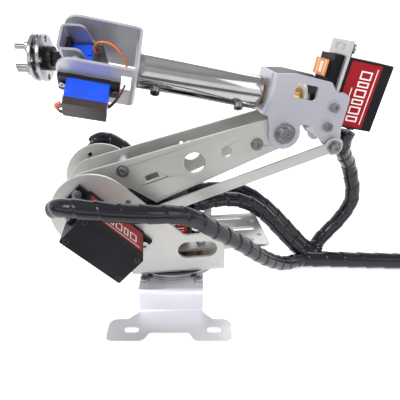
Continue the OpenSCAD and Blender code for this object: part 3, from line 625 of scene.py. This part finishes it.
def bare_leads():
    """Bare wires at both ends of the wrapped cables: at the servos, at the elbow and at the connectors."""
    leads = [("elbow_servo_wires", "turntable",
              [(-55.7, -49.5, 76), (-58.5, -51.5, 78.5), (-61.5, -53.5, 82), (-60.5, -55.5, 85)]),
             ("shoulder_servo_wires", "turntable",
              [(-55.7, 46, 76), (-57.5, 48, 79), (-57, 50, 83), (-53, 51.3, 86)]),
             ("roll_servo_wires", "forearm", [(115.3, 0, 105), (114.8, 0.1, 103), (114.2, 0.4, 100)])]
    for name, body, route in leads:
        flat_lead(name, route, TURNTABLE, body, BIG_LEAD, 1.0, 0.95)
    wrist_route = [(99, -3, 107), (102, -5, 103), (106, -5.5, 99.5), (110.5, -3, 96), (114, 2, 93)]
    flat_lead("wrist_servo_wires", wrist_route, TURNTABLE, "forearm", ("green", "white", "red"), 1.05, 1.0)
    for i in (-1, 0, 1):
        for j in (0, 1):
            y, z = PLUG_AT[1] + PLUG_ACROSS * i, PLUG_H / 2 + PLUG_UP * j
            route = [(206.5, PLUG_AT[1] + 1.2 * i, 5 + 1.5 * j), (211, PLUG_AT[1] + 4 * i, 3.6 + 1.6 * j),
                     (216, y - 0.5 * i, z + 0.4), (220.5, y, z)]
            flat_lead(f"plug_wires_{i + 1}_{j}", route, TURNTABLE, "turntable", ("brown", "red", "orange"),
                      1.9, 1.0, Vector((0, 1, 0)))


bare_leads()


def roll_servo_sticker():
    """A small orange label with pale bars on the shaft side of the roll servo's case."""
    b = Build()
    b.block((17, -9.5, 10.0), (26.5, 9.5, 10.12), "sticker")
    for y in (-7.5, 2.8):
        b.block((17.6, y, 10.12), (25.9, y + 3.2, 10.17), "sticker_yellow")
    b.block((18.6, -2.6, 10.12), (24.9, 1.4, 10.17), "label_pale")
    b.finish("roll_servo_sticker", "forearm", ROLL_SERVO)


roll_servo_sticker()


# ---------------------------------------------------------------- stage
FLOOR_PALE = (0.93, 0.93, 0.94, 1)
FLOOR_GLOW = 0.62
BAND_REACH = (-0.7, -0.1)
FLOOR_BAND = ((0.25, 0.12), (0.75, 0.12), (0.90, 0.93))
SKY_STOPS = [(0.0, 0.55), (0.28, 0.35), (0.36, 0.9), (0.62, 1.0), (0.75, 0.6), (1.0, 0.95)]
SKY_STRENGTH = 0.8
LIT_POINT = (0.02, 0, 0.07)


def add_floor():
    """A pale dish, flat under the arm and curving up far from it.

    It is darkened in front of the camera, out of its view, so that the metal has something grey to reflect.
    """
    rings = [(0.0, 0.0), (0.5, 0.0), (1.0, 0.0), (1.25, 0.03), (1.45, 0.12), (1.6, 0.28), (1.7, 0.55)]
    sides = 64
    verts = [Vector((0, 0, 0))]
    faces = []
    for r, z in rings[1:]:
        verts += [Vector((r * math.cos(math.tau * k / sides), r * math.sin(math.tau * k / sides), z))
                  for k in range(sides)]
    for k in range(sides):
        faces.append((0, 1 + k, 1 + (k + 1) % sides))
    for i in range(len(rings) - 2):
        for k in range(sides):
            a, b = 1 + i * sides + k, 1 + i * sides + (k + 1) % sides
            faces.append((a, a + sides, b + sides, b))
    mesh = bpy.data.meshes.new("floor")
    mesh.from_pydata(verts, [], faces)
    mesh.shade_smooth()
    material, tree, shader = node_material("floor")
    coords = tree.nodes.new("ShaderNodeTexCoord")
    split = tree.nodes.new("ShaderNodeSeparateXYZ")
    tree.links.new(coords.outputs["Object"], split.inputs["Vector"])
    reach = tree.nodes.new("ShaderNodeMapRange")
    reach.inputs["From Min"].default_value = BAND_REACH[0]
    reach.inputs["From Max"].default_value = BAND_REACH[1]
    tree.links.new(split.outputs["Y"], reach.inputs["Value"])
    shadow = tree.nodes.new("ShaderNodeValToRGB")
    for end in (0, 1):
        shadow.color_ramp.elements[end].color = FLOOR_PALE
    for position, value in FLOOR_BAND:
        shadow.color_ramp.elements.new(position).color = (value, value, value, 1)
    tree.links.new(reach.outputs["Result"], shadow.inputs["Fac"])
    tree.links.new(shadow.outputs["Color"], shader.inputs["Base Color"])
    tree.links.new(shadow.outputs["Color"], shader.inputs["Emission Color"])
    shader.inputs["Roughness"].default_value = 0.8
    shader.inputs["Specular IOR Level"].default_value = 0.1
    shader.inputs["Emission Strength"].default_value = FLOOR_GLOW
    mesh.materials.append(material)
    floor = bpy.data.objects.new("floor", mesh)
    bpy.context.scene.collection.objects.link(floor)


def add_light(name, at, size, power):
    """A soft box at `at`, turned to the arm."""
    data = bpy.data.lights.new(name, "AREA")
    data.shape = "RECTANGLE"
    data.size, data.size_y = size
    data.energy = power
    light = bpy.data.objects.new(name, data)
    light.location = at
    light.rotation_euler = (Vector(LIT_POINT) - Vector(at)).to_track_quat("-Z", "Y").to_euler()
    bpy.context.scene.collection.objects.link(light)


def add_world():
    world = bpy.data.worlds.new("studio")
    bpy.context.scene.world = world
    world.use_nodes = True
    tree = world.node_tree
    coords = tree.nodes.new("ShaderNodeTexCoord")
    split = tree.nodes.new("ShaderNodeSeparateXYZ")
    tree.links.new(coords.outputs["Generated"], split.inputs["Vector"])
    sky = tree.nodes.new("ShaderNodeValToRGB")
    for position, value in SKY_STOPS:
        if position in (0.0, 1.0):
            stop = sky.color_ramp.elements[int(position)]
        else:
            stop = sky.color_ramp.elements.new(position)
        stop.color = (value, value, value * 1.02, 1)
    tree.links.new(split.outputs["Z"], sky.inputs["Fac"])
    background = tree.nodes["Background"]
    tree.links.new(sky.outputs["Color"], background.inputs["Color"])
    background.inputs["Strength"].default_value = SKY_STRENGTH


add_floor()
add_world()
add_light("key", (-0.5, -0.6, 0.85), (0.6, 0.4), 5)
add_light("fill", (0.75, -0.45, 0.6), (0.5, 0.5), 1.5)
add_light("back", (0.1, 0.8, 0.7), (0.9, 0.4), 3)
bpy.context.scene.view_settings.view_transform = "Standard"
bpy.context.scene.view_settings.look = "None"
